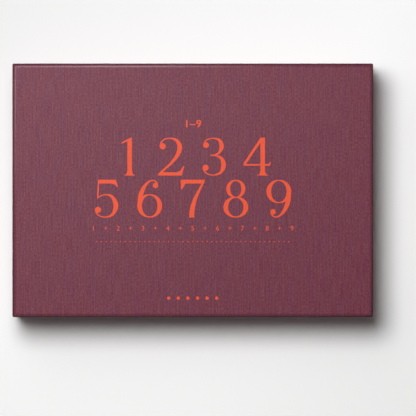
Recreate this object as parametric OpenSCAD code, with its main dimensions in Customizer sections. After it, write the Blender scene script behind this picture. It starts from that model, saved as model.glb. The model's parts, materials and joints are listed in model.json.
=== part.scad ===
// Shut the box game in a cloth-covered rigid box with a lift-off lid.
// The lid telescopes over the whole base. The base holds a wooden tray with nine
// number tiles that flip on one steel rod, two dice and a booklet.
// Millimetres. +Z is up, +X runs along the long side, +Y runs towards the tiles,
// and the origin is the middle of the face that the closed box stands on.

/* [Box] */
// Length of the closed box, side to side
box_l = 310; // [300:1:330]
// Width of the closed box, front to back
box_w = 218; // [212:1:230]
// Height of the closed box
box_h = 48; // [47:0.5:56]
// Thickness of the grey board
board_t = 2.2; // [1.8:0.1:2.4]
// Thickness of the book cloth with its glue
cloth_t = 0.35; // [0.3:0.05:0.45]
// Thickness of the lining papers
lining_t = 0.25; // [0.2:0.05:0.3]
// Thickness of the paper under the base
foot_paper_t = 0.3; // [0.2:0.05:0.4]
// Air between the lid and the base on each side
lid_gap = 0.5; // [0.4:0.1:0.8]
// Height of the lid's lower edge above the table
lid_lip = 1.2; // [0.8:0.1:2]
// Radius of the lid's edges round its top
lid_edge_r = 3.5; // [2:0.1:3.6]
// Radius of the box's upright corners
corner_r = 1.5; // [1:0.1:1.8]
// Radius of the half-round thumb notches in the lid's short sides
notch_r = 13; // [10:0.5:16]
// Width of the cloth turned in under the base
turn_in = 14; // [10:1:20]
// Width of the paper tape on each face of a board corner
tape_w = 13; // [10:1:20]

/* [Tray] */
// Height of the wooden tray
tray_h = 33; // [31:0.5:34]
// Thickness of the tray's plywood floor
tray_floor_t = 3; // [2.5:0.5:4]
// Thickness of the tray's rails
rail_t = 10; // [9:0.5:12]
// Air between the tray and the box on each side
tray_gap = 0.5; // [0.3:0.1:0.8]
// Radius of the rails' upper edges
rail_edge_r = 1.5; // [1:0.5:2.5]
// Thickness of the felt on the tray's floor
felt_t = 1.2; // [0.8:0.1:1.6]
// Depth of the shelf that holds the dice, front to back
shelf_w = 24; // [22:1:28]
// Height of that shelf above the tray's floor
shelf_h = 13.9; // [13:0.1:15]

/* [Tiles] */
// Number of tiles on the rod
tile_count = 9; // [6:1:12]
// Thickness of a tile
tile_t = 7; // [6:0.5:8]
// Radius of the steel rod
rod_r = 2; // [1.5:0.1:2.2]
// Radial play of a tile on the rod
bore_gap = 0.05; // [0.03:0.01:0.1]
// Thickness of the washers between the tiles
washer_t = 1.2; // [0.8:0.1:1.5]
// Play between a tile and the washer on each side
side_gap = 0.1; // [0.05:0.05:0.3]
// Angle by which an open tile leans back from upright
lean = 18; // [12:1:24]

/* [Dice and booklet] */
// Edge of a die
die_a = 16; // [14:0.5:16]
// Length of the booklet
booklet_l = 140; // [120:5:150]
// Width of the booklet
booklet_w = 95; // [80:5:100]

/* [Hidden] */
$fn = 64;
eps = 0.01;

// The box, from the outside in
wall = board_t + 2 * cloth_t;
lid_in_l = box_l - 2 * wall;
lid_in_w = box_w - 2 * wall;
lid_board_z = box_h - cloth_t - board_t;
lid_under = lid_board_z - lining_t;
base_l = lid_in_l - 2 * lid_gap;
base_w = lid_in_w - 2 * lid_gap;
base_in_l = base_l - 2 * wall;
base_in_w = base_w - 2 * wall;
corner_step = 0.3;
base_corner_r = corner_r - corner_step;
base_foot_r = 2;
rim_r = 0.8;
inner_r = 0.5;
base_board_z = foot_paper_t + cloth_t;
base_floor_z = base_board_z + board_t;
foot_margin = 3;
turn_in_top = base_board_z + board_t / 2;
tape_t = 0.25;
tape_end = 3;

// The tray
tray_z = base_floor_z + lining_t;
rail_z = tray_z + tray_floor_t;
tray_top = tray_z + tray_h;
tray_l = base_in_l - 2 * tray_gap;
tray_w = base_in_w - 2 * tray_gap;
bay_l = tray_l - 2 * rail_t;
bay_w = tray_w - 2 * rail_t;
felt_z = rail_z + felt_t;
dowel_r = 2;
dowel_bite = 14;
dowel_l = rail_t + dowel_bite;
dowel_y = tray_w / 2 - rail_t / 2;
dowel_low = 8;
dowel_high = 22;
dowel_zs = [rail_z + dowel_low, rail_z + dowel_high];

// The tiles and their rod
rest_h = 2.6;
rest_w = 10;
overhang = 8;
headroom = 1.2;
lean_gap = 0.1;
rod_z = rail_z + rest_h + tile_t / 2;
rod_y = bay_w / 2 - (tile_t / 2 + lean_gap + sin(lean) * (tray_top - rod_z)) / cos(lean);
rod_seat = 6;
reach = lid_under - rod_z - headroom;
tip_y = rod_y - reach;
rest_y = tip_y + overhang;
tile_pitch = bay_l / tile_count - washer_t / tile_count;
tile_w = tile_pitch - washer_t - 2 * side_gap;
tile_edge = 0.6;
tip_edge = 1;
groove_r = 5;
groove_depth = 1.1;
groove_inset = 6.5;
washer_r = 3.2;

// The dice and their shelf
shelf_y = -bay_w / 2;
shelf_back = shelf_y + shelf_w;
shelf_top = rail_z + shelf_h;
shelf_edge_r = 1;
dice_y = shelf_y + shelf_w / 2;
dice_x = 15;
well_a = die_a + 1;
well_depth = 8.5;
well_r = 2.5;
pad_t = 1;
pad_gap = 0.2;
trough_l = 84;
trough_w = 18;
trough_depth = 5;
die_z = shelf_top - well_depth + pad_t;
die_ball = 0.7;
pip_r = 1.7;
pip_depth = 0.8;
pip_spread = 0.26;
pip_step = die_a * pip_spread;

// The booklet
booklet_y = (shelf_back + tip_y) / 2;
leaf_cover_t = 0.3;
pages_t = 0.6;
booklet_t = pages_t + 2 * leaf_cover_t;
page_margin = 0.5;
staple_l = 12;
staple_wire = 0.3;
staple_leg = 1.6;
staple_y = booklet_w / 4;

cloth = [0.48, 0.28, 0.32];
greyboard = [0.60, 0.58, 0.54];
kraft = [0.72, 0.58, 0.42];
paper = [0.93, 0.90, 0.83];
card = [0.45, 0.22, 0.27];
beech = [0.86, 0.68, 0.48];
plywood = [0.82, 0.66, 0.47];
felt = [0.40, 0.10, 0.15];
steel = [0.72, 0.73, 0.75];

// ---------------------------------------------------------------- outlines

// A rectangle about the origin with round corners
module plan(l, w, r) {
    square([l - 2 * r, w], center = true);
    square([l, w - 2 * r], center = true);
    for (x = [-1, 1], y = [-1, 1])
        translate([x * (l / 2 - r), y * (w / 2 - r)]) circle(r);
}

// An upright section from z0 to z1 with round lower and upper corners
module section(w, z0, z1, foot_r, top_r) {
    mid = (z0 + z1) / 2;
    translate([-w / 2, z0 + foot_r]) square([w, z1 - z0 - foot_r - top_r]);
    translate([-w / 2 + top_r, mid]) square([w - 2 * top_r, z1 - mid]);
    translate([-w / 2 + foot_r, z0]) square([w - 2 * foot_r, mid - z0]);
    for (x = [-1, 1]) {
        translate([x * (w / 2 - top_r), z1 - top_r]) circle(top_r);
        if (foot_r > 0) translate([x * (w / 2 - foot_r), z0 + foot_r]) circle(foot_r);
    }
}

// Extrusions of a section along X or Y, centred on the origin
module along_x(l) { rotate([90, 0, 90]) linear_extrude(height = l, center = true) children(); }
module along_y(l) { rotate([90, 0, 0]) linear_extrude(height = l, center = true) children(); }

// A straight-sided slab with round upright corners
module slab(l, w, r, z0, z1) {
    translate([0, 0, z0]) linear_extrude(height = z1 - z0) plan(l, w, r);
}

// A block whose upright corners and whose lower and upper edges are round
module soft_block(l, w, r, z0, z1, foot_r, top_r) {
    intersection() {
        slab(l, w, r, z0, z1);
        along_y(w + 2) section(l, z0, z1, foot_r, top_r);
        along_x(l + 2) section(w, z0, z1, foot_r, top_r);
    }
}

// ---------------------------------------------------------------- lid

// Half-round thumb notches through both short sides
module notches(r) {
    translate([0, 0, lid_lip]) rotate([0, 90, 0]) cylinder(h = box_l + 2, r = r, center = true);
}

// The board's whole form, corner tapes included
module lid_board_form() {
    difference() {
        soft_block(box_l - 2 * cloth_t, box_w - 2 * cloth_t, corner_r - cloth_t,
            lid_lip + cloth_t, box_h - cloth_t, 0, lid_edge_r - cloth_t);
        slab(lid_in_l + 2 * cloth_t, lid_in_w + 2 * cloth_t, inner_r, -1, lid_board_z);
        notches(notch_r + cloth_t);
    }
}

// Four L-shaped paper tapes let in round upright corners of a board box
module corner_tapes(l, w, r, z0, z1) {
    difference() {
        slab(l, w, r, z0, z1);
        slab(l - 2 * tape_t, w - 2 * tape_t, r - tape_t, z0 - 1, z1 + 1);
        translate([0, 0, (z0 + z1) / 2]) cube([l - 2 * tape_w, w + 2, z1 - z0 + 4], center = true);
        translate([0, 0, (z0 + z1) / 2]) cube([l + 2, w - 2 * tape_w, z1 - z0 + 4], center = true);
    }
}

module lid_tapes() {
    corner_tapes(box_l - 2 * cloth_t, box_w - 2 * cloth_t, corner_r - cloth_t,
        lid_lip + cloth_t + tape_end, box_h - lid_edge_r - tape_end);
}

module lid_cover() {
    color(cloth) difference() {
        soft_block(box_l, box_w, corner_r, lid_lip, box_h, 0, lid_edge_r);
        slab(lid_in_l, lid_in_w, inner_r, -1, lid_board_z);
        lid_board_form();
        notches(notch_r);
    }
}

module lid_board() {
    color(greyboard) difference() {
        lid_board_form();
        lid_tapes();
    }
}

module lid_corner_tapes() { color(kraft) lid_tapes(); }

module lid_lining() { color(paper) slab(lid_in_l, lid_in_w, inner_r, lid_under, lid_board_z); }

// ---------------------------------------------------------------- base

// The board's whole form, corner tapes included
module base_board_form() {
    difference() {
        soft_block(base_l - 2 * cloth_t, base_w - 2 * cloth_t, base_corner_r - cloth_t,
            base_board_z, lid_under - cloth_t, base_foot_r - cloth_t, rim_r - cloth_t);
        slab(base_in_l + 2 * cloth_t, base_in_w + 2 * cloth_t, inner_r, base_floor_z, box_h);
    }
}

module base_tapes() {
    corner_tapes(base_l - 2 * cloth_t, base_w - 2 * cloth_t, base_corner_r - cloth_t,
        base_board_z + base_foot_r + tape_end, lid_under - rim_r - tape_end);
}

module base_cover() {
    color(cloth) difference() {
        soft_block(base_l, base_w, base_corner_r, foot_paper_t, lid_under, base_foot_r, rim_r);
        slab(base_in_l, base_in_w, inner_r, base_floor_z, box_h);
        slab(base_l - 2 * turn_in, base_w - 2 * turn_in, inner_r, -1, turn_in_top);
        base_board_form();
    }
}

module base_board() {
    color(greyboard) difference() {
        base_board_form();
        base_tapes();
    }
}

module base_corner_tapes() { color(kraft) base_tapes(); }

module base_infill() {
    color(paper) slab(base_l - 2 * turn_in, base_w - 2 * turn_in, inner_r, foot_paper_t, base_board_z);
}

module base_underside_paper() {
    color(paper) slab(base_l - 2 * foot_margin, base_w - 2 * foot_margin, corner_r, 0, foot_paper_t);
}

module base_lining() { color(paper) slab(base_in_l, base_in_w, inner_r, base_floor_z, tray_z); }

// ---------------------------------------------------------------- tray

module tray_floor() { color(plywood) slab(tray_l, tray_w, inner_r, tray_z, rail_z); }

// Dowels through the side rails into the ends of the front and back rails
module dowels() {
    for (x = [-1, 1], y = [-1, 1], z = dowel_zs)
        translate([x * (tray_l / 2 - dowel_l / 2), y * dowel_y, z])
            rotate([0, 90, 0]) cylinder(h = dowel_l, r = dowel_r, center = true);
}

module tray_dowels() { color(beech) dowels(); }

// A rail along Y at one end of the tray; the rod's end sits in its blind bore
module side_rail(side) {
    color(beech) difference() {
        translate([side * (tray_l - rail_t) / 2, 0, 0])
            along_y(tray_w) section(rail_t, rail_z, tray_top, 0, rail_edge_r);
        dowels();
        rod_form();
    }
}

module left_rail() { side_rail(-1); }
module right_rail() { side_rail(1); }

module front_rail() {
    color(beech) difference() {
        translate([0, shelf_y - rail_t / 2, 0])
            along_x(bay_l) section(rail_t, rail_z, tray_top, 0, rail_edge_r);
        dowels();
    }
}

// Where the face that the open tiles lean on stands at height z
function lean_y(z) = rod_y + (tile_t / 2 + lean_gap + sin(lean) * (z - rod_z)) / cos(lean);

module back_rail() {
    back = tray_w / 2;
    ease = rail_edge_r / 2;
    color(beech) difference() {
        along_x(bay_l) polygon([
            [lean_y(rail_z), rail_z],
            [back, rail_z],
            [back, tray_top - ease],
            [back - ease, tray_top],
            [lean_y(tray_top) + ease, tray_top],
            [lean_y(tray_top - ease), tray_top - ease]
        ]);
        dowels();
    }
}

module arena_felt() {
    color(felt) translate([-bay_l / 2, shelf_back, rail_z]) cube([bay_l, rest_y - shelf_back, felt_t]);
}

module tile_bay_felt() {
    y = rest_y + rest_w;
    color(felt) translate([-bay_l / 2, y, rail_z]) cube([bay_l, lean_y(rail_z) - y, felt_t]);
}

module tile_rest() {
    color(beech) translate([-bay_l / 2, rest_y, rail_z]) cube([bay_l, rest_w, rest_h]);
}

// ---------------------------------------------------------------- dice shelf

// A square well for one die
module well(a, r, z0, z1) {
    for (x = [-1, 1]) translate([x * dice_x, dice_y, 0]) slab(a, a, r, z0, z1);
}

module dice_shelf() {
    color(beech) difference() {
        translate([0, dice_y, 0]) along_x(bay_l) section(shelf_w, rail_z, shelf_top, 0, shelf_edge_r);
        translate([0, dice_y, 0])
            slab(trough_l, trough_w, trough_w / 2 - eps, shelf_top - trough_depth, shelf_top + 1);
        well(well_a, well_r, shelf_top - well_depth, shelf_top + 1);
    }
}

module die_well_pads() {
    color(felt) well(well_a - 2 * pad_gap, well_r - pad_gap, shelf_top - well_depth, die_z);
}

// Where a face's pips lie, in steps from its middle
function pips(n) = concat(
    n % 2 == 1 ? [[0, 0]] : [],
    n > 1 ? [[1, 1], [-1, -1]] : [],
    n > 3 ? [[1, -1], [-1, 1]] : [],
    n == 6 ? [[0, 1], [0, -1]] : []
);

// Turns that bring each number's face up; opposite faces add up to seven
face_turns = [[0, 0, 0], [90, 0, 0], [0, 90, 0], [0, -90, 0], [-90, 0, 0], [180, 0, 0]];

// A die about its own middle, with its corners turned off and its pips drilled
module die_form() {
    difference() {
        intersection() {
            cube(die_a, center = true);
            sphere(r = die_a * die_ball, $fn = 96);
        }
        for (n = [1:6], p = pips(n))
            rotate(face_turns[n - 1])
                translate([p[0] * pip_step, p[1] * pip_step, die_a / 2 + pip_r - pip_depth])
                    sphere(r = pip_r, $fn = 24);
    }
}

module die(x, turn) {
    color(paper) translate([x, dice_y, die_z + die_a / 2]) rotate(turn) die_form();
}

module die_1() { die(-dice_x, [0, 0, 0]); }
module die_2() { die(dice_x, [0, 90, 90]); }

// ---------------------------------------------------------------- tiles and rod

module rod_form() {
    translate([0, rod_y, rod_z]) rotate([0, 90, 0])
        cylinder(h = bay_l + 2 * rod_seat, r = rod_r, center = true);
}

module pivot_rod() { color(steel) rod_form(); }

module rod_washers() {
    color(steel) for (i = [0:tile_count])
        translate([-bay_l / 2 + i * tile_pitch, rod_y, rod_z]) rotate([0, 90, 0]) difference() {
            cylinder(h = washer_t, r = washer_r);
            translate([0, 0, -1]) cylinder(h = washer_t + 2, r = rod_r + bore_gap);
        }
}

// A tile seen from the rod's end: a flat board with eased tip edges and a round knuckle
module tile_side() {
    low = rod_z - tile_t / 2;
    high = rod_z + tile_t / 2;
    end = rod_y + tile_t / 2;
    difference() {
        polygon([
            [end, low],
            [tip_y + tip_edge, low],
            [tip_y, low + tip_edge],
            [tip_y, high - tip_edge],
            [tip_y + tip_edge, high],
            [end, high]
        ]);
        difference() {
            translate([rod_y, low - 1]) square([tile_t, tile_t + 2]);
            translate([rod_y, rod_z]) circle(tile_t / 2);
        }
    }
}

// A tile seen from its tip, with all four long edges eased
module tile_front() {
    low = rod_z - tile_t / 2;
    high = rod_z + tile_t / 2;
    half = tile_w / 2;
    polygon([
        [-half, low + tile_edge],
        [-half + tile_edge, low],
        [half - tile_edge, low],
        [half, low + tile_edge],
        [half, high - tile_edge],
        [half - tile_edge, high],
        [-half + tile_edge, high],
        [-half, high - tile_edge]
    ]);
}

// A tile lying shut: numbered face down, plain face with its finger groove up
module tile(n) {
    left = -bay_l / 2 + (n - 1) * tile_pitch + washer_t + side_gap;
    color(beech) translate([left + tile_w / 2, 0, 0]) difference() {
        intersection() {
            along_x(tile_w) tile_side();
            along_y(2 * box_w) tile_front();
        }
        translate([0, rod_y, rod_z]) rotate([0, 90, 0])
            cylinder(h = tile_w + 2, r = rod_r + bore_gap, center = true);
        translate([0, tip_y + groove_inset, rod_z + tile_t / 2 + groove_r - groove_depth])
            rotate([0, 90, 0]) cylinder(h = tile_w + 2, r = groove_r, center = true);
    }
}

// ---------------------------------------------------------------- booklet

// Two staples through the fold: a crown outside and two legs into the pages
module staples() {
    x = -booklet_l / 2;
    z = felt_z + booklet_t / 2;
    for (s = [-1, 1]) translate([x, booklet_y + s * staple_y, z]) {
        translate([-staple_wire / 2, 0, 0]) cube([staple_wire, staple_l, staple_wire], center = true);
        for (e = [-1, 1])
            translate([staple_leg / 2 - staple_wire, e * (staple_l - staple_wire) / 2, 0])
                cube([staple_leg, staple_wire, staple_wire], center = true);
    }
}

// Cover folded at its left edge, round the pages
module booklet_cover() {
    color(card) difference() {
        translate([-booklet_l / 2, booklet_y - booklet_w / 2, felt_z])
            cube([booklet_l, booklet_w, booklet_t]);
        translate([-booklet_l / 2 + leaf_cover_t, booklet_y - booklet_w / 2 - 1, felt_z + leaf_cover_t])
            cube([booklet_l, booklet_w + 2, pages_t]);
        staples();
    }
}

module booklet_pages() {
    color(paper) difference() {
        translate([
            -booklet_l / 2 + leaf_cover_t,
            booklet_y - booklet_w / 2 + page_margin,
            felt_z + leaf_cover_t
        ])
            cube([booklet_l - leaf_cover_t - page_margin, booklet_w - 2 * page_margin, pages_t]);
        staples();
    }
}

module booklet_staples() { color(steel) staples(); }

// ---------------------------------------------------------------- nodes

lid_cover();
lid_board();
lid_corner_tapes();
lid_lining();
base_cover();
base_board();
base_corner_tapes();
base_infill();
base_underside_paper();
base_lining();
tray_floor();
front_rail();
back_rail();
left_rail();
right_rail();
tray_dowels();
dice_shelf();
die_well_pads();
arena_felt();
tile_bay_felt();
tile_rest();
pivot_rod();
rod_washers();
for (n = [1:tile_count]) tile(n);
die_1();
die_2();
booklet_cover();
booklet_pages();
booklet_staples();
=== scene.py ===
import json
import math

import bmesh
import bpy
from mathutils import Matrix, Vector, noise

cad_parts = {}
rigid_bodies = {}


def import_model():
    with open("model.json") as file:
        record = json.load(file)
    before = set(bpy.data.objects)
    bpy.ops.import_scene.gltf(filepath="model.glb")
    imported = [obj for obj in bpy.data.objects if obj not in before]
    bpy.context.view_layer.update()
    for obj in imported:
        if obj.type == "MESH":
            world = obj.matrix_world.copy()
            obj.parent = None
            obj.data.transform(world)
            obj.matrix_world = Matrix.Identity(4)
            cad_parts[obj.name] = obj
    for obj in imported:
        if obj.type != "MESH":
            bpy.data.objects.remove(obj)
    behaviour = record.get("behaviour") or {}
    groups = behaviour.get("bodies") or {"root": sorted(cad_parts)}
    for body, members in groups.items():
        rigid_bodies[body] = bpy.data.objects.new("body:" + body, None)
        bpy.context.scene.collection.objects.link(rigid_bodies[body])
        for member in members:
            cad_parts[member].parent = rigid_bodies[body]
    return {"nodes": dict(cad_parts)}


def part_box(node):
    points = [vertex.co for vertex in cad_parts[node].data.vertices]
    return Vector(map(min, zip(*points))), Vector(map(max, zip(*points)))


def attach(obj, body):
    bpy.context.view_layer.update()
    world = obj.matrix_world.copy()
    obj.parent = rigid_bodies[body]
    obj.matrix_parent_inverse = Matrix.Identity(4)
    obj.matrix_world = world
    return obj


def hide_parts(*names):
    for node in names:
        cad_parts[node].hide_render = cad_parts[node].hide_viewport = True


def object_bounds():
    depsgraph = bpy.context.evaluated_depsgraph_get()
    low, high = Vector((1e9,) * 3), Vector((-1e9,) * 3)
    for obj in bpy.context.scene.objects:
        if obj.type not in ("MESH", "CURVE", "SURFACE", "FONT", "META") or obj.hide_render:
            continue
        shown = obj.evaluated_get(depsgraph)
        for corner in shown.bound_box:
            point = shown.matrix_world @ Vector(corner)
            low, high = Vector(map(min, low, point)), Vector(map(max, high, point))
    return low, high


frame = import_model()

CAD_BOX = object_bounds()
NODES = frame["nodes"]
MM = 0.001  # m

# ---------------------------------------------------------------- sizes, in millimetres

BOX_L, BOX_W, BOX_H = [side / MM for side in CAD_BOX[1] - CAD_BOX[0]]
LID_EDGE_R = 3.5  # the rounding of the lid's upper edges
BASE_FOOT_R = 2.0  # the rounding of the base's lower edges
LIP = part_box("lid_cover")[0].z / MM  # the height of the lid's lower edge
TILES = [f"tile_{n}" for n in range(1, 10)]
DICE = ["die_1", "die_2"]

# Where things lie in the photograph, in its own pixels
PHOTO_SIDE = 416
LID_LEFT, LID_RIGHT = 12.4, 373.1
LID_TOP, LID_BOTTOM = 63.25, 317.4
PX = BOX_L / (LID_RIGHT - LID_LEFT)  # mm to a pixel


def on_lid(px, py):
    """The place on the lid, in millimetres, that a pixel of the photograph shows."""
    return (
        (px - (LID_LEFT + LID_RIGHT) / 2) * PX,
        ((LID_TOP + LID_BOTTOM) / 2 - py) * PX,
    )


# ---------------------------------------------------------------- material helpers


def colour(code):
    """An sRGB hex colour as linear RGBA."""
    channels = [int(code[i : i + 2], 16) / 255 for i in (0, 2, 4)]
    linear = [c / 12.92 if c <= 0.04045 else ((c + 0.055) / 1.055) ** 2.4 for c in channels]
    return (*linear, 1.0)


def add(tree, kind, inputs=None, **settings):
    """Adds a node with its settings; an input is given as a value or as the socket to link."""
    node = tree.nodes.new(kind)
    for name, value in settings.items():
        setattr(node, name, value)
    for key, value in (inputs or {}).items():
        if isinstance(value, bpy.types.NodeSocket):
            tree.links.new(value, node.inputs[key])
        else:
            node.inputs[key].default_value = value
    return node


def finish_of(name, roughness=0.5, metallic=0.0, specular=0.5, sheen=0.0, coat=0.0, coat_roughness=0.1):
    """A new material with its shader and output, and the tree to build its pattern in."""
    material = bpy.data.materials.new(name)
    material.use_nodes = True
    tree = material.node_tree
    tree.nodes.clear()
    shader = add(tree, "ShaderNodeBsdfPrincipled", {
        "Roughness": roughness,
        "Metallic": metallic,
        "Specular IOR Level": specular,
        "Sheen Weight": sheen,
        "Sheen Roughness": 0.5,
        "Coat Weight": coat,
        "Coat Roughness": coat_roughness,
    })
    add(tree, "ShaderNodeOutputMaterial", {"Surface": shader.outputs["BSDF"]})
    return material, tree, shader


def ramp(tree, factor, stops):
    """A colour ramp through (position, hex) stops."""
    node = add(tree, "ShaderNodeValToRGB", {"Fac": factor})
    band = node.color_ramp
    while len(band.elements) < len(stops):
        band.elements.new(0.5)
    for element, (position, code) in zip(band.elements, stops):
        element.position = position
        element.color = colour(code)
    return node.outputs["Color"]


def levels(tree, factor, stops):
    """A plain value that follows (position, value) stops in straight runs."""
    node = add(tree, "ShaderNodeFloatCurve", {"Value": factor})
    curve = node.mapping.curves[0]
    while len(curve.points) < len(stops):
        curve.points.new(0.5, 0.5)
    for point, stop in zip(curve.points, stops):
        point.location = stop
        point.handle_type = "VECTOR"
    node.mapping.update()
    return node.outputs["Value"]


# ---------------------------------------------------------------- materials

RIB = 1.25  # mm from one rib of the cloth to the next, about twice the real pitch so that it shows
SLUB = (1.05, 1.9)  # mm, across and along the ribs: the thick and thin places of single threads
STREAK = (0.9, 19.0)  # mm: longer runs of heavier thread, which the eye reads as faint stripes
THREAD = (0.42, 0.36)  # mm from thread to thread, across and along the ribs, seen only close up

# Painted shade (how dark) and roughness of the cloth, from 0 where a fold leaves the flat face to 1 on the
# flap
FOLD_PAINTED_SHADE = [(0.0, 1.0), (0.12, 0.97), (0.35, 0.85), (0.6, 0.55), (0.8, 0.45), (1.0, 1.0)]
FOLD_ROUGHNESS = [(0.0, 0.5), (0.06, 0.16), (0.3, 0.2), (0.6, 1.0), (1.0, 0.5)]


def sized(tree, place, across, along, deep=1.0):
    """Coordinates in which one unit is the given number of millimetres each way."""
    scale = (1 / (across * MM), 1 / (along * MM), 1 / (deep * MM))
    return add(tree, "ShaderNodeMapping", {"Vector": place, "Scale": scale}).outputs[0]


def bands(tree, place, way, across, along, wander):
    """Soft bands, one to every unit of the way they follow, that wander a little from side to side."""
    return add(tree, "ShaderNodeTexWave", {
        "Vector": sized(tree, place, across, along),
        "Scale": math.pi / 10,
        "Distortion": wander,
        "Detail": 1.0,
        "Detail Scale": 1.5,
    }, wave_type="BANDS", bands_direction=way, wave_profile="SIN").outputs["Fac"]


def cloth_pattern(tree, place):
    """The ribs, slubs, streaks and crossing threads of the cloth; place runs across and along the
    ribs, in metres."""
    ribs = bands(tree, place, "X", RIB, 9.0, 1.4)
    slubs = add(tree, "ShaderNodeTexNoise", {
        "Vector": sized(tree, place, *SLUB), "Scale": 1.0, "Detail": 2.0, "Roughness": 0.5,
    })
    streaks = add(tree, "ShaderNodeTexNoise", {
        "Vector": sized(tree, place, *STREAK), "Scale": 1.0, "Detail": 2.0, "Roughness": 0.5,
    })
    warp = bands(tree, place, "X", THREAD[0], 3.0, 1.2)
    weft = bands(tree, place, "Y", 3.0, THREAD[1], 1.2)
    threads = weighted(tree, (warp, 0.6), (weft, 0.4))
    return ribs, slubs.outputs["Fac"], streaks.outputs["Fac"], threads


def weighted(tree, *parts):
    """The sum of factors, each a (socket, weight) pair."""
    total = 0.0
    for socket, weight in parts:
        total = add(tree, "ShaderNodeMath", {0: socket, 1: weight, 2: total},
                    operation="MULTIPLY_ADD").outputs[0]
    return total


def book_cloth():
    """Book cloth, woven in ribs and sized with starch: matt burgundy with slubs that read as faint
    streaks along the ribs. A fold is polished where it leaves the flat face, where it was smoothed down
    tight, and duller further round, and its colour carries painted shade that darkens it towards the flap."""
    material, tree, shader = finish_of("book_cloth_burgundy", specular=0.17)
    place = add(tree, "ShaderNodeUVMap", uv_map="sheet").outputs["UV"]
    ribs, slubs, streaks, threads = cloth_pattern(tree, place)
    weave = weighted(tree, (ribs, 0.1), (slubs, 0.5), (streaks, 0.34), (threads, 0.1))
    warm = ramp(tree, weave, [(0.27, "580322"), (0.5, "692F3D"), (0.77, "7B4A55")])
    cool = ramp(tree, weave, [(0.27, "550226"), (0.5, "662E41"), (0.77, "784958")])
    patches = add(tree, "ShaderNodeTexNoise", {"Vector": sized(tree, place, 9.0, 30.0), "Scale": 1.0,
                                               "Detail": 4.0})
    tone = add(tree, "ShaderNodeMapRange", {"Value": patches.outputs["Fac"], "From Min": 0.35,
                                            "From Max": 0.65})
    dye = add(tree, "ShaderNodeMix", {0: tone.outputs[0], 6: warm, 7: cool}, data_type="RGBA")
    pressed = add(tree, "ShaderNodeAttribute", attribute_name="fold").outputs["Fac"]
    # painted shade: the cloth's colour is darkened round the fold, most where the edge turns away from the
    # light
    painted_shade = levels(tree, pressed, FOLD_PAINTED_SHADE)
    shaded_dye = add(tree, "ShaderNodeVectorMath", {0: dye.outputs[2], "Scale": painted_shade}, operation="SCALE")
    tree.links.new(shaded_dye.outputs[0], shader.inputs["Base Color"])
    tree.links.new(levels(tree, pressed, FOLD_ROUGHNESS), shader.inputs["Roughness"])
    height = weighted(tree, (ribs, 0.35), (slubs, 0.3), (streaks, 0.1), (threads, 0.35))
    bump = add(tree, "ShaderNodeBump", {"Strength": 0.3, "Distance": 0.12 * MM, "Height": height})
    tree.links.new(bump.outputs[0], shader.inputs["Normal"])
    return material


def pigment_foil():
    """Pigment foil hot-stamped into the cloth: flat orange-red with a low gloss, the ribs showing
    through it as a faint relief."""
    material, tree, shader = finish_of("pigment_foil_orange", roughness=0.5, specular=0.2)
    place = add(tree, "ShaderNodeTexCoord").outputs["Object"]
    ribs, slubs, streaks, threads = cloth_pattern(tree, place)
    weave = weighted(tree, (ribs, 0.2), (slubs, 0.4), (streaks, 0.2), (threads, 0.2))
    base = ramp(tree, weave, [(0.2, "CC3F20"), (0.5, "DF4C29"), (0.8, "EC6040")])
    tree.links.new(base, shader.inputs["Base Color"])
    bump = add(tree, "ShaderNodeBump", {"Strength": 0.25, "Distance": 0.08 * MM, "Height": weave})
    tree.links.new(bump.outputs[0], shader.inputs["Normal"])
    return material


def fibre_board(name, dark, light, speck, roughness=0.9):
    """Board or paper pressed from fibres: matt, mottled, with short stray fibres."""
    material, tree, shader = finish_of(name, roughness=roughness, specular=0.25)
    place = add(tree, "ShaderNodeTexCoord").outputs["Object"]
    mottle = add(tree, "ShaderNodeTexNoise", {"Vector": place, "Scale": 1 / (4 * MM), "Detail": 4.0})
    base = ramp(tree, mottle.outputs["Fac"], [(0.3, dark), (0.7, light)])
    stretched = add(tree, "ShaderNodeMapping", {
        "Vector": place,
        "Rotation": (0.3, 0.5, 0.6),
        "Scale": (1 / (0.25 * MM), 1 / (1.6 * MM), 1 / (0.5 * MM)),
    })
    fibres = add(tree, "ShaderNodeTexNoise", {"Vector": stretched.outputs[0], "Scale": 1.0, "Detail": 2.0})
    picked = add(tree, "ShaderNodeMapRange", {"Value": fibres.outputs["Fac"], "From Min": 0.62,
                                              "From Max": 0.72})
    mixed = add(tree, "ShaderNodeMix", {0: picked.outputs[0], 6: base, 7: colour(speck)}, data_type="RGBA")
    tree.links.new(mixed.outputs[2], shader.inputs["Base Color"])
    bump = add(tree, "ShaderNodeBump", {"Strength": 0.3, "Distance": 0.05 * MM,
                                        "Height": fibres.outputs["Fac"]})
    tree.links.new(bump.outputs[0], shader.inputs["Normal"])
    return material


def drawn_out(tree, place, grain, length, width):
    """Coordinates for marks of a length along the grain axis and a width across it, in millimetres."""
    return sized(tree, place, *[length if axis == grain else width for axis in "XYZ"])


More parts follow.
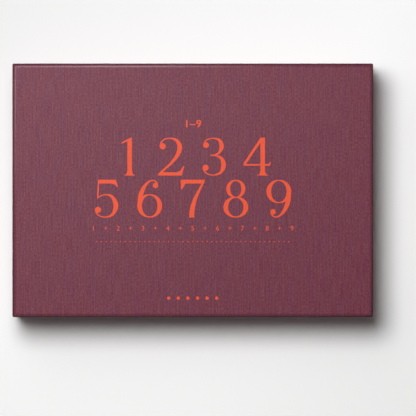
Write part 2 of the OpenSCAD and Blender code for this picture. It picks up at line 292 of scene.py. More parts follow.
def beech(name, grain, pale="DDB183", dark="C08B5B"):
    """Beech, planed, sanded and satin varnished: pinkish tan with soft growth bands and the short
    dark flecks that mark beech, all running along the grain axis."""
    material, tree, shader = finish_of(name, roughness=0.42, specular=0.45, coat=0.15, coat_roughness=0.3)
    place = add(tree, "ShaderNodeTexCoord").outputs["Object"]
    growth = add(tree, "ShaderNodeTexNoise", {
        "Vector": drawn_out(tree, place, grain, 60, 3.2),
        "Scale": 1.0,
        "Detail": 4.0,
        "Roughness": 0.55,
        "Distortion": 0.6,
    })
    base = ramp(tree, growth.outputs["Fac"], [(0.25, dark), (0.5, "D3A274"), (0.75, pale)])
    rays = add(tree, "ShaderNodeTexNoise", {
        "Vector": drawn_out(tree, place, grain, 2.2, 0.28), "Scale": 1.0, "Detail": 1.0,
    })
    picked = add(tree, "ShaderNodeMapRange", {
        "Value": rays.outputs["Fac"], "From Min": 0.6, "From Max": 0.7, "To Max": 0.6,
    })
    mixed = add(tree, "ShaderNodeMix", {0: picked.outputs[0], 6: base, 7: colour("A87448")},
                data_type="RGBA")
    tree.links.new(mixed.outputs[2], shader.inputs["Base Color"])
    bump = add(tree, "ShaderNodeBump", {"Strength": 0.2, "Distance": 0.04 * MM,
                                        "Height": rays.outputs["Fac"]})
    tree.links.new(bump.outputs[0], shader.inputs["Normal"])
    return material


def wool_felt():
    """Pressed wool felt: burgundy, quite matt, with matted fibres that catch a soft sheen."""
    material, tree, shader = finish_of("wool_felt_burgundy", roughness=0.95, specular=0.15, sheen=0.35)
    place = add(tree, "ShaderNodeTexCoord").outputs["Object"]
    tufts = add(tree, "ShaderNodeTexNoise", {"Vector": place, "Scale": 1 / (1.1 * MM), "Detail": 5.0,
                                             "Roughness": 0.7})
    cloudy = add(tree, "ShaderNodeTexNoise", {"Vector": place, "Scale": 1 / (14 * MM), "Detail": 2.0})
    blend = weighted(tree, (tufts.outputs["Fac"], 0.8), (cloudy.outputs["Fac"], 0.2))
    base = ramp(tree, blend, [(0.3, "4E1523"), (0.5, "692231"), (0.7, "813443")])
    tree.links.new(base, shader.inputs["Base Color"])
    bump = add(tree, "ShaderNodeBump", {"Strength": 0.7, "Distance": 0.25 * MM,
                                        "Height": tufts.outputs["Fac"]})
    tree.links.new(bump.outputs[0], shader.inputs["Normal"])
    return material


def drawn_steel(name, marks_mm=(20, 0.15, 0.15)):
    """Drawn or stamped steel: grey metal with fine lines along the way it was drawn, or with small
    marks all ways."""
    material, tree, shader = finish_of(name, roughness=0.3, metallic=1.0)
    place = add(tree, "ShaderNodeTexCoord").outputs["Object"]
    marks = add(tree, "ShaderNodeTexNoise", {
        "Vector": sized(tree, place, *marks_mm), "Scale": 1.0, "Detail": 3.0,
    })
    base = ramp(tree, marks.outputs["Fac"], [(0.3, "A9AAAD"), (0.7, "C9CACC")])
    tree.links.new(base, shader.inputs["Base Color"])
    gloss = add(tree, "ShaderNodeMapRange", {"Value": marks.outputs["Fac"], "To Min": 0.22, "To Max": 0.42})
    tree.links.new(gloss.outputs[0], shader.inputs["Roughness"])
    return material


DIE_BALL = 1.4  # the radius of the ball that rounds a die's corners, for a half side of one
INK_BELOW = (0.04, 0.06)  # mm under the cube's faces and under the ball, where the ink starts


def die_wood(name, centre, half):
    """Maple sawn and tumbled, satin varnished, with ink in the drilled pips: pale and even with dark
    burgundy dimples. What lies inside the cube's faces and the ball that rounds it is a pip."""
    material, tree, shader = finish_of(name, roughness=0.35, specular=0.45, coat=0.25, coat_roughness=0.2)
    place = add(tree, "ShaderNodeTexCoord").outputs["Object"]
    local = add(tree, "ShaderNodeVectorMath", {0: place, 1: centre}, operation="SUBTRACT").outputs[0]
    size = add(tree, "ShaderNodeVectorMath", {0: local}, operation="LENGTH").outputs["Value"]
    reach = add(tree, "ShaderNodeVectorMath", {0: local}, operation="ABSOLUTE").outputs[0]
    sides = add(tree, "ShaderNodeSeparateXYZ", {0: reach})
    two = add(tree, "ShaderNodeMath", {0: sides.outputs[0], 1: sides.outputs[1]}, operation="MAXIMUM")
    three = add(tree, "ShaderNodeMath", {0: two.outputs[0], 1: sides.outputs[2]}, operation="MAXIMUM")
    below_face = add(tree, "ShaderNodeMath", {0: three.outputs[0], 1: half - INK_BELOW[0] * MM},
                     operation="LESS_THAN")
    inside_ball = add(tree, "ShaderNodeMath", {0: size, 1: half * DIE_BALL - INK_BELOW[1] * MM},
                      operation="LESS_THAN")
    pip = add(tree, "ShaderNodeMath", {0: below_face.outputs[0], 1: inside_ball.outputs[0]},
              operation="MULTIPLY")
    grain = add(tree, "ShaderNodeTexNoise", {
        "Vector": drawn_out(tree, place, "Y", 14, 0.9), "Scale": 1.0, "Detail": 3.0,
    })
    wood = ramp(tree, grain.outputs["Fac"], [(0.3, "DCBE92"), (0.7, "EFD9B4")])
    mixed = add(tree, "ShaderNodeMix", {0: pip.outputs[0], 6: wood, 7: colour("3A0F1B")}, data_type="RGBA")
    tree.links.new(mixed.outputs[2], shader.inputs["Base Color"])
    return material


def tile_paint():
    """Enamel screen-printed on the tiles: burgundy, even, with a low gloss."""
    material, tree, shader = finish_of("screen_ink_burgundy", roughness=0.4, specular=0.45)
    place = add(tree, "ShaderNodeTexCoord").outputs["Object"]
    mottle = add(tree, "ShaderNodeTexNoise", {"Vector": place, "Scale": 1 / (0.8 * MM), "Detail": 3.0})
    base = ramp(tree, mottle.outputs["Fac"], [(0.3, "5E1E2D"), (0.7, "6B2434")])
    tree.links.new(base, shader.inputs["Base Color"])
    return material


BACKDROP = "F4F4F4"  # the even tone that is seen far from the box and past the paper
PAPER_END = (0.27, 0.65)  # m from the box, where the paper starts and ends its run into the backdrop


def seen_ray(tree):
    """One where a backdrop is seen, straight or in a mirror or glass, and nothing where it gives light."""
    path = add(tree, "ShaderNodeLightPath").outputs
    seen = add(tree, "ShaderNodeMath", {0: path["Is Camera Ray"], 1: path["Is Glossy Ray"]},
               operation="ADD")
    return add(tree, "ShaderNodeMath", {0: seen.outputs[0], 1: path["Is Transmission Ray"]},
               operation="ADD", use_clamp=True).outputs[0]


def studio_paper():
    """Seamless background paper: plain and nearly white, a little whiter away from the lamp so that
    it reads as even, and running out into the even backdrop far from the box."""
    material, tree, shader = finish_of("studio_paper", roughness=0.95, specular=0.1)
    place = add(tree, "ShaderNodeTexCoord").outputs["Object"]
    far = add(tree, "ShaderNodeVectorMath", {0: place, 1: (0.6, -0.8, 0.0)}, operation="DOT_PRODUCT")
    fade = add(tree, "ShaderNodeMapRange", {"Value": far.outputs["Value"], "From Min": -0.25,
                                            "From Max": 0.25})
    base = ramp(tree, fade.outputs[0], [(0.0, "E0E0E0"), (0.45, "F8F8F8"), (0.8, "FFFFFF")])
    tree.links.new(base, shader.inputs["Base Color"])
    reach = add(tree, "ShaderNodeVectorMath", {0: place}, operation="LENGTH")
    away = add(tree, "ShaderNodeMapRange", {
        "Value": reach.outputs["Value"], "From Min": PAPER_END[0], "From Max": PAPER_END[1],
    }, interpolation_type="SMOOTHSTEP")
    even = add(tree, "ShaderNodeMath", {0: away.outputs[0], 1: seen_ray(tree)}, operation="MULTIPLY")
    glow = add(tree, "ShaderNodeEmission", {"Color": colour(BACKDROP), "Strength": 1.0})
    mix = add(tree, "ShaderNodeMixShader", {0: even.outputs[0], 1: shader.outputs[0], 2: glow.outputs[0]})
    tree.links.new(mix.outputs[0], tree.nodes["Material Output"].inputs["Surface"])
    return material


# ---------------------------------------------------------------- mesh helpers

NEAR = 0.01  # mm, less than this apart counts as in one place
RIM_TURN = math.radians(60)  # an edge that turns by more than this is a rim
WELD = 0.0004  # mm, the CAD mesh's loose triangles meet within this
FLAT_TURN = math.radians(0.5)  # faces that turn by less than this are one flat face


def piece(name, bm, material, body, smooth_angle=35):
    """A finished mesh piece that rides on a body; its place is already in its mesh."""
    mesh = bpy.data.meshes.new(name)
    bm.to_mesh(mesh)
    bm.free()
    obj = bpy.data.objects.new(name, mesh)
    bpy.context.scene.collection.objects.link(obj)
    mesh.materials.append(material)
    for polygon in mesh.polygons:
        polygon.use_smooth = True
    mesh.set_sharp_from_angle(angle=math.radians(smooth_angle))
    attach(obj, body)
    return obj


def merged_copy(node):
    """A copy of a CAD node's mesh with its loose triangles joined."""
    bm = bmesh.new()
    bm.from_mesh(NODES[node].data)
    bmesh.ops.remove_doubles(bm, verts=bm.verts, dist=WELD * MM)
    bmesh.ops.dissolve_limit(bm, angle_limit=FLAT_TURN, verts=bm.verts, edges=bm.edges)
    return bm


# ---------------------------------------------------------------- cloth covers

LEVEL = 0.98  # a face whose normal points this much up or down lies on the flat face
SQUARE = 0.9995  # a face whose normal points this much along an axis is no part of a fold


def unfolded(place, normal, half_l, half_w, top, edge_r, sign_z):
    """Where a point of the cover lies on its flat sheet of cloth, across and along the ribs.

    The ribs run along Y over the flat face, and the flaps fold away from it, so a point's distance
    down a side adds to its distance from the middle."""
    x, y, z = place
    if abs(normal.z) > LEVEL:
        return x, y
    drop = (top - z) * sign_z
    across = abs(normal.x) > abs(normal.y)
    out = abs(x) if across else abs(y)
    half = half_l if across else half_w
    flat = half - edge_r
    if drop < edge_r and out > flat:
        run = flat + edge_r * math.atan2(out - flat, edge_r - drop)
    else:
        run = flat + edge_r * math.pi / 2 + drop - edge_r
    if across:
        return math.copysign(run, x), y
    return x, math.copysign(run, y)


def around_fold(place, half_l, half_w, top, edge_r, sign_z):
    """How far round its fold a point of the cover is, from 0 on the flat face to 1 on the flap."""
    out = max(abs(place.x) - half_l, abs(place.y) - half_w) + edge_r
    level = edge_r - (top - place.z) * sign_z
    return min(max(math.atan2(out, level) / (math.pi / 2), 0.0), 1.0)


def lay_sheet(bm, half_l, half_w, top, edge_r, sign_z=1):
    """Gives a cover the UV map of its flat sheet, in metres, and says of the faces that aren't square
    to an axis how far round a fold they are."""
    layer = bm.loops.layers.uv.new("sheet")
    fold = bm.loops.layers.float.new("fold")
    for face in bm.faces:
        turned = max(abs(side) for side in face.normal) < SQUARE
        for loop in face.loops:
            spot = unfolded(loop.vert.co / MM, face.normal, half_l, half_w, top, edge_r, sign_z)
            loop[layer].uv = (spot[0] * MM, spot[1] * MM)
            if turned:
                loop[fold] = around_fold(loop.vert.co / MM, half_l, half_w, top, edge_r, sign_z)


SLIT_INSET = 2.0  # mm from the upright corner to a slit's middle
SLIT_W = 0.25  # mm
SLIT_LIP = 0.08  # mm, how much of its width each side slopes in
SLIT_DEPTH = 0.2  # mm
LIP_R = 0.15  # mm, the rounding of the cloth where it turns in under the lid's walls
SKIN = 0.1  # mm, what lies less than this inside the box's length is its outside


def short_side(bm, side):
    """The flat faces of the cover's outside on one short side."""
    return [face for face in bm.faces if face.normal.x * side > SQUARE
            and abs(face.calc_center_median().x) > (BOX_L / 2 - SKIN) * MM]


def cut_corner_slits(bm):
    """The short flaps end just short of the upright corners: a fine slit down each short side."""
    for side in (-1, 1):
        for end in (-1, 1):
            middle = end * (BOX_W / 2 - SLIT_INSET)
            for edge in (-SLIT_W / 2, SLIT_W / 2):
                faces = short_side(bm, side)
                geometry = [*faces, *dict.fromkeys(e for f in faces for e in f.edges),
                            *dict.fromkeys(v for f in faces for v in f.verts)]
                bmesh.ops.bisect_plane(bm, geom=geometry, plane_co=(0, (middle + edge) * MM, 0),
                                       plane_no=(0, 1, 0), dist=1e-7)
            strip = [f for f in short_side(bm, side)
                     if abs(f.calc_center_median().y / MM - middle) < SLIT_W / 2]
            bmesh.ops.inset_region(bm, faces=strip, thickness=SLIT_LIP * MM, depth=-SLIT_DEPTH * MM,
                                   use_even_offset=True)


def soften_rim(bm, level, width):
    """Rounds the sharp edges of the cloth where it turns at height level."""
    edges = [e for e in bm.edges if e.is_manifold and e.calc_face_angle(0) > RIM_TURN
             and all(abs(v.co.z / MM - level) < NEAR for v in e.verts)]
    bmesh.ops.bevel(bm, geom=edges, offset=width * MM, segments=2, profile=0.5, affect="EDGES", material=-1)


def lid_cloth(material):
    """The cloth over the lid, in the CAD skin's place."""
    bm = merged_copy("lid_cover")
    cut_corner_slits(bm)
    soften_rim(bm, LIP, LIP_R)
    bm.normal_update()
    lay_sheet(bm, BOX_L / 2, BOX_W / 2, BOX_H, LID_EDGE_R)
    obj = piece("lid_book_cloth", bm, material, "lid")
    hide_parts("lid_cover")


def base_cloth(material):
    """The cloth over the base, in the CAD skin's place."""
    low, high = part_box("base_cover")
    bm = merged_copy("base_cover")
    bm.normal_update()
    lay_sheet(bm, high.x / MM, high.y / MM, low.z / MM, BASE_FOOT_R, sign_z=-1)
    obj = piece("base_book_cloth", bm, material, "base")
    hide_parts("base_cover")


# ---------------------------------------------------------------- felt

FELT_EDGE_R = 0.4  # mm, the rounding that shears leave on felt's upper edge
FELT_TRIM = 0.15  # mm, the most that a cut edge strays inward
TRIM_LENGTH = 11.0  # mm along the edge from one stray to the next
FELT_SAG = 0.12  # mm, the most that the face lies below its full thickness
SAG_LENGTH = 16.0  # mm from one shallow to the next
FELT_CELL = 3.0  # mm, the mesh's step over a large sheet
WELL_PAD_R = 2.3  # mm, the corner radius of the pads in the dice wells


def uneven(x, y, length):
    """A smooth unevenness from 0 to 1 that changes over the given length, in millimetres."""
    return 0.5 + 0.5 * noise.noise((x / length, y / length, 0.0))


def cut_felt(name, material, low, high, corner_r, node):
    """A sheet of felt cut to fit its place: soft upper edges, not quite straight, and a face that isn't
    quite level. It fills the box from low to high, in millimetres, and stands for a CAD node."""
    wide, deep, thick = high - low
    middle = (low + high) / 2
    bm = bmesh.new()
    steps = [1, 1] if corner_r else [round(side / FELT_CELL) for side in (wide, deep)]
    spread = Matrix.Translation((middle.x, middle.y, high.z)) @ Matrix.Diagonal((wide, deep, 1, 1))
    bmesh.ops.create_grid(bm, x_segments=steps[0], y_segments=steps[1], size=0.5, matrix=spread)
    if corner_r:
        bmesh.ops.bevel(bm, geom=bm.verts[:], offset=corner_r, segments=8, profile=0.5, affect="VERTICES",
                        material=-1)
    for vert in [v for v in bm.verts if v.is_boundary]:
        x, y = vert.co.xy
        stray = FELT_TRIM * uneven(x, y, TRIM_LENGTH)
        if abs(abs(x - middle.x) - wide / 2) < NEAR:
            vert.co.x -= math.copysign(stray, x - middle.x)
        if abs(abs(y - middle.y) - deep / 2) < NEAR:
            vert.co.y -= math.copysign(stray, y - middle.y)
    under = [e for e in bmesh.ops.extrude_face_region(bm, geom=bm.faces[:])["geom"]
             if isinstance(e, bmesh.types.BMVert)]
    bmesh.ops.translate(bm, vec=(0, 0, -thick), verts=under)
    bmesh.ops.recalc_face_normals(bm, faces=bm.faces)
    rim = [e for e in bm.edges if e.calc_face_angle(0) > RIM_TURN
           and all(v.co.z > high.z - NEAR for v in e.verts)]
    bmesh.ops.bevel(bm, geom=rim, offset=FELT_EDGE_R, segments=3, profile=0.5, affect="EDGES", material=-1)
    for vert in bm.verts:
        if vert.co.z > low.z + NEAR:
            vert.co.z -= FELT_SAG * uneven(vert.co.x, vert.co.y, SAG_LENGTH)
    bmesh.ops.scale(bm, vec=(MM, MM, MM), verts=bm.verts)
    obj = piece(name, bm, material, "base", smooth_angle=60)
    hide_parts(node)


def felts(material):
    """The felts that the dice roll on, the tiles swing over and the dice rest on."""
    for name, node in (("arena_felt_sheet", "arena_felt"), ("tile_bay_felt_sheet", "tile_bay_felt")):
        low, high = [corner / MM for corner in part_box(node)]
        cut_felt(name, material, low, high, 0, node)
    low, high = [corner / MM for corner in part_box("die_well_pads")]
    side = high.y - low.y
    for name, left in (("die_well_pad_left", low.x), ("die_well_pad_right", high.x - side)):
        cut_felt(name, material, Vector((left, low.y, low.z)), Vector((left + side, high.y, high.z)),
                 WELL_PAD_R, "die_well_pads")


# ---------------------------------------------------------------- numerals

# They are drawn in hundredths of their height, from the foot up
HAIRLINE = 3


def smooth_run(points, closed=False, steps=8):
    """Points along a smooth curve that passes through the given ones."""
    points = [Vector(point) for point in points]
    if closed:
        padded = [points[-1], *points, points[0], points[1]]
    else:
        padded = [2 * points[0] - points[1], *points, 2 * points[-1] - points[-2]]
    run = []
    for a, b, c, d in zip(padded, padded[1:], padded[2:], padded[3:]):
        for t in [k / steps for k in range(steps)]:
            run.append(b + ((c - a) * t + (2 * a - 5 * b + 4 * c - d) * t ** 2
                            + (3 * b - a - 3 * c + d) * t ** 3) / 2)
    return run if closed else run + [points[-1]]


def pen_stroke(bm, points, closed=False):
    """A stroke through (x, y, width) points: one edge is drawn and filled to the other."""
    run = smooth_run(points, closed)
    count = len(run)
    pairs = []
    for i, spot in enumerate(run):
        before = run[(i - 1) % count] if closed or i > 0 else spot
        after = run[(i + 1) % count] if closed or i < count - 1 else spot
        heading = (after - before).xy.normalized()
        across = Vector((-heading.y, heading.x)) * spot.z / 2
        pairs.append([bm.verts.new((*(spot.xy + way * across), 0)) for way in (1, -1)])
    rounds = pairs + pairs[:1] if closed else pairs
    for (a, b), (c, d) in zip(rounds, rounds[1:]):
        bm.faces.new((a, b, d, c))


def flat_shape(bm, corners):
    """A flat shape with straight edges."""
    bm.faces.new([bm.verts.new((x, y, 0)) for x, y in corners])


def ball(bm, x, y, r, segments=28):
    """A round dot, such as the drop that ends a hairline."""
    bmesh.ops.create_circle(bm, cap_ends=True, radius=r, segments=segments,
                            matrix=Matrix.Translation((x, y, 0)))


def foot(bm, x):
    """A stem's flared foot."""
    half = [(14, 0), (14, 1.4), (9.5, 3.2), (7, 8), (6, 15)]
    flat_shape(bm, [(x + dx, y) for dx, y in half] + [(x - dx, y) for dx, y in reversed(half)])


def bowl(bm, x, y, wide, high, stem):
    """A closed oval, thick at its sides and thin above and below."""
    turns = [math.radians(22.5 * k) for k in range(16)]
    pen_stroke(bm, [(x + wide * math.cos(a), y + high * math.sin(a),
                     HAIRLINE + (stem - HAIRLINE) * abs(math.cos(a)) ** 1.7) for a in turns], closed=True)


def draw_one(bm):
    flat_shape(bm, [(32, 12), (44, 12), (44, 100), (41, 100), (32, 96)])
    flat_shape(bm, [(41, 100), (32, 96), (17, 87.5), (16, 84), (32, 90.5)])
    foot(bm, 38)


def draw_two(bm):
    pen_stroke(bm, [(8.8, 78, 3.2), (12.5, 89, 3.4), (22, 96.3, 3.2), (36, 98.4, 3.2), (52, 93, 8),
                    (60.5, 76, 12.5), (55, 55, 10.5), (39, 34, 7), (22, 18, 5.5), (8, 6, 5)])
    ball(bm, 15.4, 77.5, 8.2)
    flat_shape(bm, [(3, 0), (66, 0), (73, 25), (70, 25.5), (62, 12.5), (53, 8.8), (9, 8.8), (3, 4)])


def draw_three(bm):
    pen_stroke(bm, [(8.9, 81, 3), (13, 91, 3.2), (23, 97, 3.1), (36, 98.4, 3.2), (50, 93.5, 7.5),
                    (56.5, 77.5, 11.5), (50, 61, 6.5), (37, 54.4, 3.2), (27, 53.6, 3)])
    pen_stroke(bm, [(27, 53.6, 3), (40, 52.6, 3.2), (55, 46, 8), (61.5, 28, 12.5), (54, 8.5, 7.5),
                    (37, 1.6, 3.2), (22, 3.2, 3.1), (11, 11, 3.2), (7.5, 21, 3)])
    ball(bm, 15, 80.5, 7.6)
    ball(bm, 14, 20.5, 8)


def draw_four(bm):
    flat_shape(bm, [(46, 100), (50, 100), (50, 92), (7.5, 30), (2, 30), (1.5, 33)])
    flat_shape(bm, [(1.5, 26), (71, 26), (74, 36), (71.5, 36), (67, 30.5), (1.5, 30.5)])
    flat_shape(bm, [(46, 12), (58, 12), (58, 100), (49, 100), (46, 96)])
    foot(bm, 52)


def draw_five(bm):
    flat_shape(bm, [(13, 100), (60, 100), (66, 82), (63.5, 81), (56, 88), (50, 90), (16, 90)])
    flat_shape(bm, [(13, 100), (16.6, 100), (14.2, 53), (10.4, 50)])
    pen_stroke(bm, [(11.4, 50.8, 2.8), (20, 57.3, 3), (35, 60.6, 3.4), (51, 54.5, 8), (60.5, 32, 12.8),
                    (52, 9, 7.5), (35, 1.6, 3.2), (20, 3.4, 3.1), (9.5, 11, 3.2), (6.2, 21, 3)])
    ball(bm, 13, 20.5, 8)


def draw_six(bm):
    bowl(bm, 38, 31, 26.5, 29.4, 12.5)
    pen_stroke(bm, [(59, 85, 3), (56, 93.5, 3), (47.5, 98.2, 3.2), (36, 95, 5), (23.5, 81, 9),
                    (14.5, 60, 12), (11.5, 33, 12.5)])
    ball(bm, 53.4, 84.8, 7.2)


def draw_seven(bm):
    flat_shape(bm, [(4, 100), (68, 100), (67, 94), (60, 90), (17, 90), (7.5, 74), (5, 75)])
    pen_stroke(bm, [(66.3, 97, 4), (54, 74, 6.5), (42, 48, 10), (35.2, 24, 12.8), (33.6, 8, 13.2),
                    (33.6, 0, 13.2)])


def draw_eight(bm):
    bowl(bm, 36, 76, 20, 22.4, 10.5)
    bowl(bm, 36, 27.6, 26.5, 26, 12.5)


def draw_nine(bm):
    draw_six(bm)
    bmesh.ops.transform(bm, matrix=Matrix.Translation((76, 100, 0)) @ Matrix.Rotation(math.pi, 4, "Z"),
                        verts=bm.verts)


DRAW = {1: draw_one, 2: draw_two, 3: draw_three, 4: draw_four, 5: draw_five,
        6: draw_six, 7: draw_seven, 8: draw_eight, 9: draw_nine}


def numeral(number):
    """One numeral, centred from left to right, a hundred units high, as flat faces."""
    bm = bmesh.new()
    DRAW[number](bm)
    bmesh.ops.recalc_face_normals(bm, faces=bm.faces)
    for face in bm.faces:
        if face.normal.z < 0:
            face.normal_flip()
    left = min(v.co.x for v in bm.verts)
    right = max(v.co.x for v in bm.verts)
    bmesh.ops.translate(bm, vec=(-(left + right) / 2, 0, 0), verts=bm.verts)
    return bm


def stamp(target, shape, matrix, thickness, step=0.012):
    """Adds flat faces to a mesh at a place, as thin solids. A shape's strokes are each a step thicker
    than the one before, so that where they cross no two faces lie in one plane. The thickness and the
    step are in millimetres."""
    bmesh.ops.transform(shape, matrix=matrix, verts=shape.verts)
    shape.normal_update()
    scratch = bpy.data.meshes.new("scratch")
    islands = []
    left = dict.fromkeys(shape.faces)
    while left:
        island = [left.popitem()[0]]
        for face in island:
            for other in [f for edge in face.edges for f in edge.link_faces]:
                if other in left:
                    del left[other]
                    island.append(other)
        islands.append(island)
    for i, island in enumerate(islands):
        normal = island[0].normal.copy()
        made = bmesh.ops.extrude_face_region(shape, geom=island)
        top = [e for e in made["geom"] if isinstance(e, bmesh.types.BMVert)]
        bmesh.ops.translate(shape, vec=normal * (thickness + step * i) * MM, verts=top)
    # The extrusion makes a shape's sides in another order each run, so they are sorted by their place
    for parts in (shape.edges, shape.faces):
        places = {part: tuple(sum((vert.co for vert in part.verts), Vector())) for part in parts}
        ranks = {part: rank for rank, part in enumerate(sorted(parts, key=places.get))}
        parts.sort(key=ranks.get)
    shape.to_mesh(scratch)
    shape.free()
    target.from_mesh(scratch)
    bpy.data.meshes.remove(scratch)


# ---------------------------------------------------------------- foil on the lid

FOIL_T = 0.03  # mm, the thickness of a shape's first stroke in foil
PRINT_T, PRINT_STEP = 0.015, 0.006  # mm, the same on the booklet, and the step from stroke to stroke
MIDDLE_X = 192.75  # px, where every row has its middle

# The rows, in the photograph's pixels: the marks' height, the way from one to the next, and their feet
CAP, CAP_PITCH = 37.8, 43.0
LINES = (((1, 2, 3, 4), 175.6), ((5, 6, 7, 8, 9), 217.6))
RANGE_H, RANGE_Y = 7.2, 127.3
SUM_H, SUM_PITCH, SUM_Y = 4.8, 12.4, 230.6
RULE_DOTS, RULE_H, RULE_PITCH, RULE_Y = 41, 1.1, 4.8, 241.5
END_DOTS, END_H, END_PITCH, END_Y = 6, 3.4, 9.6, 298.0


def lid_matrix(px, py, size):
    """Places a shape a hundred units high on the lid at a pixel, size pixels high."""
    x, y = on_lid(px, py)
    scale = size * PX / 100
    return Matrix.Translation((x * MM, y * MM, BOX_H * MM)) @ Matrix.Scale(scale * MM, 4)


def dot(segments):
    """A round dot, a hundred units high."""
    bm = bmesh.new()
    ball(bm, 0, 0, 50, segments)
    return bm


FIGURE_RISE = 0.69  # height of a figure in the built-in face, for a size of one


def plain_figures(words, weight=0.0, spacing=1.0):
    """Small plain figures, a hundred units high, centred from left to right."""
    curve = bpy.data.curves.new("figures", "FONT")
    curve.body = words
    curve.align_x = "CENTER"
    curve.offset = weight
    curve.space_character = spacing
    curve.resolution_u = 4
    holder = bpy.data.objects.new("figures", curve)
    mesh = bpy.data.meshes.new_from_object(holder)
    bm = bmesh.new()
    bm.from_mesh(mesh)
    for data, kept in ((bpy.data.objects, holder), (bpy.data.curves, curve), (bpy.data.meshes, mesh)):
        data.remove(kept)
    bmesh.ops.beautify_fill(bm, faces=bm.faces, edges=bm.edges, method="ANGLE")
    bmesh.ops.scale(bm, vec=(100 / FIGURE_RISE, 100 / FIGURE_RISE, 1), verts=bm.verts)
    return bm


def row(shapes, pitch, py, size):
    """(shape, matrix) pairs for a centred row of marks on the lid, in the photograph's pixels."""
    return [(shape, lid_matrix(MIDDLE_X + (i - (len(shapes) - 1) / 2) * pitch, py, size))
            for i, shape in enumerate(shapes)]


def number_marks():
    """The lid's numbers and marks, each with its place on the lid."""
    marks = row([plain_figures("1\u20139", weight=0.02, spacing=1.15)], 0, RANGE_Y, RANGE_H)
    for numbers, baseline in LINES:
        marks += row([numeral(number) for number in numbers], CAP_PITCH, baseline, CAP)
    marks += row([plain_figures(sign) for sign in "1+2+3+4+5+6+7+8+9"], SUM_PITCH, SUM_Y, SUM_H)
    marks += row([dot(10) for _ in range(RULE_DOTS)], RULE_PITCH, RULE_Y, RULE_H)
    marks += row([dot(16) for _ in range(END_DOTS)], END_PITCH, END_Y, END_H)
    return marks


def lid_foil(material):
    """The numbers and marks stamped on the lid."""
    bm = bmesh.new()
    for shape, matrix in number_marks():
        stamp(bm, shape, matrix, FOIL_T)
    piece("lid_foil_numbers", bm, material, "lid")


def booklet_print(material):
    """The same numbers and marks in small, printed on the booklet's cover."""
    low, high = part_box("booklet_cover")
    share = (high.x - low.x) / (BOX_L * MM)
    move = (Matrix.Translation(((low.x + high.x) / 2, (low.y + high.y) / 2, high.z))
            @ Matrix.Scale(share, 4) @ Matrix.Translation((0, 0, -BOX_H * MM)))
    bm = bmesh.new()
    for shape, matrix in number_marks():
        stamp(bm, shape, move @ matrix, PRINT_T, PRINT_STEP)
    piece("booklet_print_numbers", bm, material, "booklet")


# ---------------------------------------------------------------- numbers on the tiles

TILE_CAP = 17.0  # mm, a numeral's height
TILE_MARGIN = 5.5  # mm from the tile's tip to the numeral's head
INK_T = 0.03  # mm, the thickness of a numeral's first stroke


def tile_number(number, material):
    """The printed number on a tile's face, upright when the tile stands open."""
    low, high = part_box(f"tile_{number}")
    feet = Vector(((low.x + high.x) / 2, low.y + (TILE_MARGIN + TILE_CAP) * MM, low.z))
    face_down = Matrix.Diagonal((1, -1, -1, 1))
    matrix = Matrix.Translation(feet) @ face_down @ Matrix.Scale(TILE_CAP * MM / 100, 4)
    bm = bmesh.new()
    stamp(bm, numeral(number), matrix, INK_T)
    piece(f"tile_{number}_number", bm, material, f"tile_{number}")


# ---------------------------------------------------------------- studio

FLOOR_HALF = 3.0  # m
FLOOR_GAP = 0.0002  # m under the box, so that the two don't lie in one plane


def floor(material):
    """The paper that the box stands on."""
    bm = bmesh.new()
    bmesh.ops.create_grid(bm, x_segments=1, y_segments=1, size=FLOOR_HALF,
                          matrix=Matrix.Translation((0, 0, -FLOOR_GAP)))
    mesh = bpy.data.meshes.new("floor")
    bm.to_mesh(mesh)
    bm.free()
    obj = bpy.data.objects.new("floor", mesh)
    bpy.context.scene.collection.objects.link(obj)
    mesh.materials.append(material)


def soft_light(name, way, distance, half_angle, share):
    """A round soft box at a distance in metres from the lid. It is half_angle degrees wide on each side
    of its middle, seen from there, and gives its share of the light on a face turned to it."""
    half = math.radians(half_angle)
    lamp = bpy.data.lights.new(name, "AREA")
    lamp.shape = "DISK"
    lamp.size = 2 * distance * math.tan(half)
    lamp.energy = share * (math.pi * distance / math.cos(half)) ** 2
    obj = bpy.data.objects.new(name, lamp)
    way = Vector(way).normalized()
    obj.location = way * distance + Vector((0, 0, BOX_H * MM))
    obj.rotation_euler = way.to_track_quat("Z", "Y").to_euler()
    bpy.context.scene.collection.objects.link(obj)


SKY = 0.045  # the dim light that comes from all round


def lights():
    """A key high over the back left, a wider scrim behind it that softens the shadow's edge, a weak
    fill from low at the front right, and a dim sky behind a backdrop that is only seen."""
    soft_light("key", way=(-0.210, 0.320, 1.0), distance=1.3, half_angle=15, share=0.82)
    soft_light("scrim", way=(-0.46, 0.60, 1.0), distance=1.5, half_angle=32, share=0.32)
    soft_light("fill", way=(1.2, -1.6, 0.30), distance=2.0, half_angle=18, share=0.04)
    world = bpy.data.worlds.new("studio")
    bpy.context.scene.world = world
    world.use_nodes = True
    tree = world.node_tree
    tree.nodes.clear()
    dim = add(tree, "ShaderNodeBackground", {"Color": colour("FFFBF2"), "Strength": SKY})
    pale = add(tree, "ShaderNodeBackground", {"Color": colour(BACKDROP), "Strength": 1.0})
    mix = add(tree, "ShaderNodeMixShader", {0: seen_ray(tree), 1: dim.outputs[0], 2: pale.outputs[0]})
    add(tree, "ShaderNodeOutputWorld", {"Surface": mix.outputs[0]})


CAMERA_DISTANCE = 2.5  # m above the foot of the lid's rounded edges, where its outline is seen


def camera():
    """Straight above, long lens, aimed at the point of the lid that the photograph has at its middle."""
    x, y = on_lid(PHOTO_SIDE / 2, PHOTO_SIDE / 2)
    data = bpy.data.cameras.new("camera")
    data.sensor_width = 36.0
    data.lens = data.sensor_width * CAMERA_DISTANCE / (PHOTO_SIDE * PX * MM)
    data.clip_end = 20.0
    obj = bpy.data.objects.new("camera", data)
    obj.location = (x * MM, y * MM, (BOX_H - LID_EDGE_R) * MM + CAMERA_DISTANCE)
    obj.rotation_euler = (0, 0, 0)
    bpy.context.scene.collection.objects.link(obj)
    bpy.context.scene.camera = obj


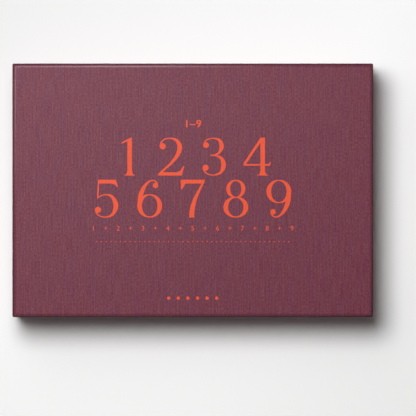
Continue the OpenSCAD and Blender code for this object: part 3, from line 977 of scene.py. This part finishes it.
# ---------------------------------------------------------------- dressing the CAD nodes


def dress(node, material):
    """Gives a CAD node its finished material."""
    for slot in NODES[node].material_slots:
        slot.material = material


def dress_all():
    """Every CAD node that shows gets its finish."""
    board = fibre_board("greyboard", "8A8781", "A09C94", "6E6A64")
    kraft = fibre_board("gummed_kraft_tape", "B08A60", "C39C70", "8C6A45")
    lining = fibre_board("cream_lining_paper", "E6DDCB", "F0E8D8", "D6CBB4")
    infill = fibre_board("infill_paper", "D8CFBD", "E3DBC9", "C4B9A3")
    under = fibre_board("underside_paper", "331B20", "40242A", "57383E")
    card = fibre_board("booklet_card", "6A3644", "764050", "8A5362", roughness=0.7)
    leaves = fibre_board("booklet_paper", "EEE9DD", "F6F1E6", "DDD6C6")
    rail_x = beech("beech_rail_along_x", "X")
    rail_y = beech("beech_rail_along_y", "Y")
    tile_wood = beech("beech_tile", "Y", pale="E2BA8D", dark="C79564")
    plywood = beech("beech_plywood", "X", pale="D9AF80", dark="BC8A5A")
    dowel = beech("dowel_end_grain", "X", pale="B98A5C", dark="94683F")
    rod = drawn_steel("drawn_steel_rod")
    washers = drawn_steel("stamped_steel_washer", marks_mm=(0.4, 0.4, 0.4))
    wire = drawn_steel("zinc_plated_wire")
    for nodes, material in (
        (("lid_board", "base_board"), board),
        (("lid_corner_tapes", "base_corner_tapes"), kraft),
        (("lid_lining", "base_lining"), lining),
        (("base_infill",), infill),
        (("base_underside_paper",), under),
        (("front_rail", "back_rail", "dice_shelf", "tile_rest"), rail_x),
        (("left_rail", "right_rail"), rail_y),
        (("tray_floor",), plywood),
        (("tray_dowels",), dowel),
        (("pivot_rod",), rod),
        (("rod_washers",), washers),
        (TILES, tile_wood),
        (("booklet_cover",), card),
        (("booklet_pages",), leaves),
        (("booklet_staples",), wire),
    ):
        for node in nodes:
            dress(node, material)
    for name in DICE:
        low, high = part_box(name)
        dress(name, die_wood(f"{name}_maple", (low + high) / 2, (high.x - low.x) / 2))


# ---------------------------------------------------------------- the scene

scene = bpy.context.scene
scene.view_settings.view_transform = "Standard"

camera()
lights()
floor(studio_paper())
dress_all()
cloth = book_cloth()
lid_cloth(cloth)
base_cloth(cloth)
felts(wool_felt())
foil = pigment_foil()
lid_foil(foil)
booklet_print(foil)
ink = tile_paint()
for number in range(1, 10):
    tile_number(number, ink)
